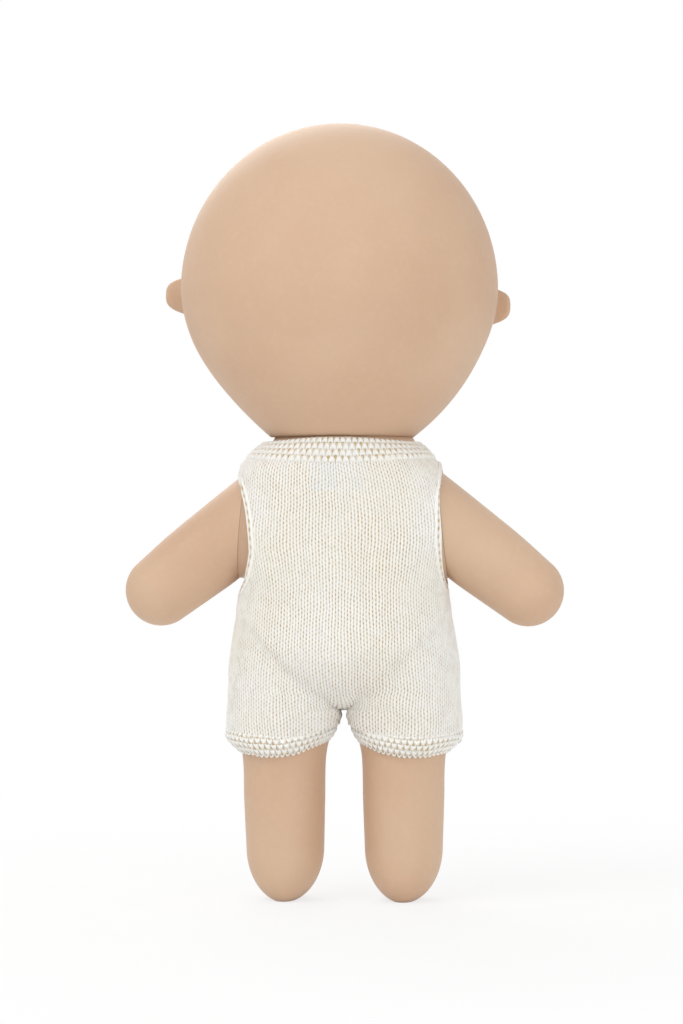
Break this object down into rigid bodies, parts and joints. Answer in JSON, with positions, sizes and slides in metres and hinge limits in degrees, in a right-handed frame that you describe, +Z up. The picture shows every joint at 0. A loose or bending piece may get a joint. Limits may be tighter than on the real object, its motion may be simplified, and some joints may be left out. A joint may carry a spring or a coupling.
{
  "type": "baby doll",
  "caption": "Bald baby doll with a round head, short arms that turn, legs that swing forward to sit, and a sleeveless cream knitted romper",
  "frame": {"origin": "on the floor between the soles, under the neck", "axes": "+Z up along the doll, the doll faces -Y, its left is +X"},
  "size_m": [0.1698, 0.1097, 0.3],
  "materials": {
    "skin": "smooth matte moulded rubber, peach",
    "knit": "ivory cotton stocking-stitch knit",
    "garter": "ivory cotton garter-stitch edging",
    "label_tape": "bare woven tape"
  },
  "bodies": {
    "torso": {"torso": "skin", "romper_back": "knit", "romper_front": "knit", "romper_neck_band": "garter", "romper_armhole_band_left": "garter", "romper_armhole_band_right": "garter", "romper_label": "label_tape"},
    "head": {"head": "skin"},
    "arm_left": {"arm_left": "skin"},
    "arm_right": {"arm_right": "skin"},
    "leg_left": {"leg_left": "skin", "romper_leg_back_left": "knit", "romper_leg_front_left": "knit", "romper_leg_hem_left": "garter"},
    "leg_right": {"leg_right": "skin", "romper_leg_back_right": "knit", "romper_leg_front_right": "knit", "romper_leg_hem_right": "garter"}
  },
  "joints": [
    {"name": "neck", "type": "hinge", "parent": "torso", "child": "head", "pos_m": [0, 0, 0.1787], "axis": [0, 0, 1], "continuous": true},
    {"name": "shoulder_left", "type": "hinge", "parent": "torso", "child": "arm_left", "pos_m": [0.0383, 0, 0.14535], "axis": [-0.9962, 0, -0.0872], "continuous": true},
    {"name": "shoulder_right", "type": "hinge", "parent": "torso", "child": "arm_right", "pos_m": [-0.0383, 0, 0.14535], "axis": [-0.9962, 0, 0.0872], "continuous": true},
    {"name": "hip_left", "type": "hinge", "parent": "torso", "child": "leg_left", "pos_m": [0.022, 0, 0.094], "axis": [-0.7071, 0, 0.7071], "range_deg": [-30, 120], "deforming": ["romper_leg_back_left", "romper_leg_front_left", "romper_leg_hem_left"]},
    {"name": "hip_right", "type": "hinge", "parent": "torso", "child": "leg_right", "pos_m": [-0.022, 0, 0.094], "axis": [-0.7071, 0, -0.7071], "range_deg": [-30, 120], "deforming": ["romper_leg_back_right", "romper_leg_front_right", "romper_leg_hem_right"]}
  ]
}
